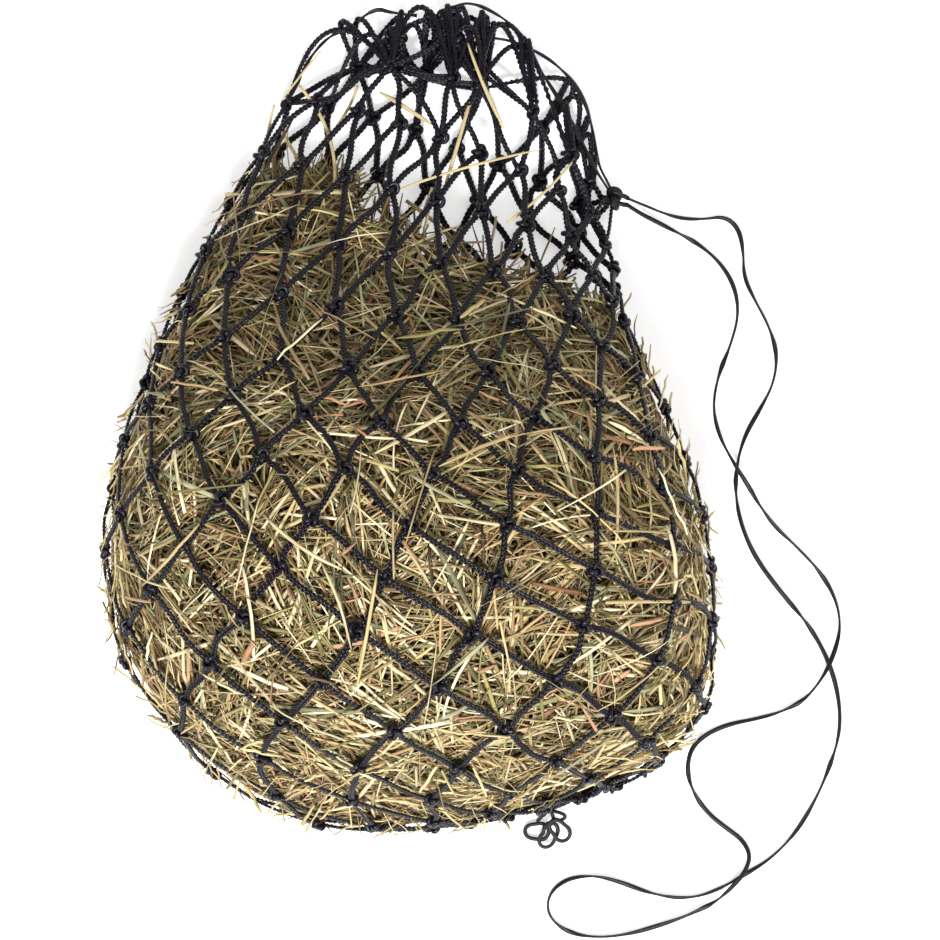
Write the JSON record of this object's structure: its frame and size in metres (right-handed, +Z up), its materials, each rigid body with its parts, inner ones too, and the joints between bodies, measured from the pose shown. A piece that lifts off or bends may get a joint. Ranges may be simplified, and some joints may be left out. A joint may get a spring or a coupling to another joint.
{
  "type": "hay net",
  "caption": "Small-holed knotted hay net, packed with hay and lying on its side, its empty neck laid flat with the long drawcord beside it.",
  "frame": {"origin": "the middle of the net's box on the surface that it lies on, without the free drawcord", "axes": "+Y from the gathered base towards the neck and mouth, +Z up off the surface, +X to the side where the drawcord leaves"},
  "size_m": [0.4737, 0.6083, 0.2135],
  "materials": {
    "netting_twine": "plaited polyethylene netting twine, aubergine black with a soft sheen",
    "netting_knots": "the same plaited twine pulled into sheet-bend knots",
    "gathered_meshes": "bundled netting twine, tightly gathered",
    "tie_cord": "thin braided cord, near black",
    "drawcord": "flat braided cord, black",
    "hay": "dry meadow hay: straw yellow, tan, grey green and russet stems and blades"
  },
  "bodies": {
    "bag": {"base_bunch": "gathered_meshes", "base_course": "netting_twine", "base_gather_cord": "tie_cord", "drawcord_free_loop": "drawcord", "hay_flake_1": "hay", "hay_flake_2": "hay", "hay_flake_3": "hay", "hay_flake_4": "hay", "hay_flake_5": "hay", "knot_row_01": "netting_knots", "knot_row_02": "netting_knots", "knot_row_03": "netting_knots", "knot_row_04": "netting_knots", "knot_row_05": "netting_knots", "knot_row_06": "netting_knots", "knot_row_07": "netting_knots", "knot_row_08": "netting_knots", "knot_row_09": "netting_knots", "knot_row_10": "netting_knots", "knot_row_11": "netting_knots", "knot_row_12": "netting_knots", "knot_row_13": "netting_knots", "knot_row_14": "netting_knots", "mesh_course_01": "netting_twine", "mesh_course_02": "netting_twine", "mesh_course_03": "netting_twine", "mesh_course_04": "netting_twine", "mesh_course_05": "netting_twine", "mesh_course_06": "netting_twine", "mesh_course_07": "netting_twine", "mesh_course_08": "netting_twine", "mesh_course_09": "netting_twine", "mesh_course_10": "netting_twine", "mesh_course_11": "netting_twine", "mesh_course_12": "netting_twine", "mesh_course_13": "netting_twine", "mesh_course_14": "netting_twine"},
    "neck": {"mesh_course_15": "netting_twine", "knot_row_15": "netting_knots", "knot_row_16": "netting_knots", "mouth_course": "netting_twine", "mouth_bunch_left": "gathered_meshes", "mouth_bunch_right": "gathered_meshes", "drawcord_in_mouth": "drawcord", "drawcord_exit_knot": "drawcord", "hay_tuft_in_neck": "hay"},
    "base_loops": {"base_tie_loops": "tie_cord"}
  },
  "joints": [
    {"name": "neck_fold", "type": "hinge", "parent": "bag", "child": "neck", "pos_m": [0, 0.128, 0.024], "axis": [0.9854, -0.1701, 0], "range_deg": [0, 35], "deforming": ["mesh_course_14"]},
    {"name": "base_loops_swing", "type": "hinge", "parent": "bag", "child": "base_loops", "pos_m": [0.089, -0.2555, 0.006], "axis": [-0.9207, -0.3903, 0], "range_deg": [0, 45]}
  ]
}
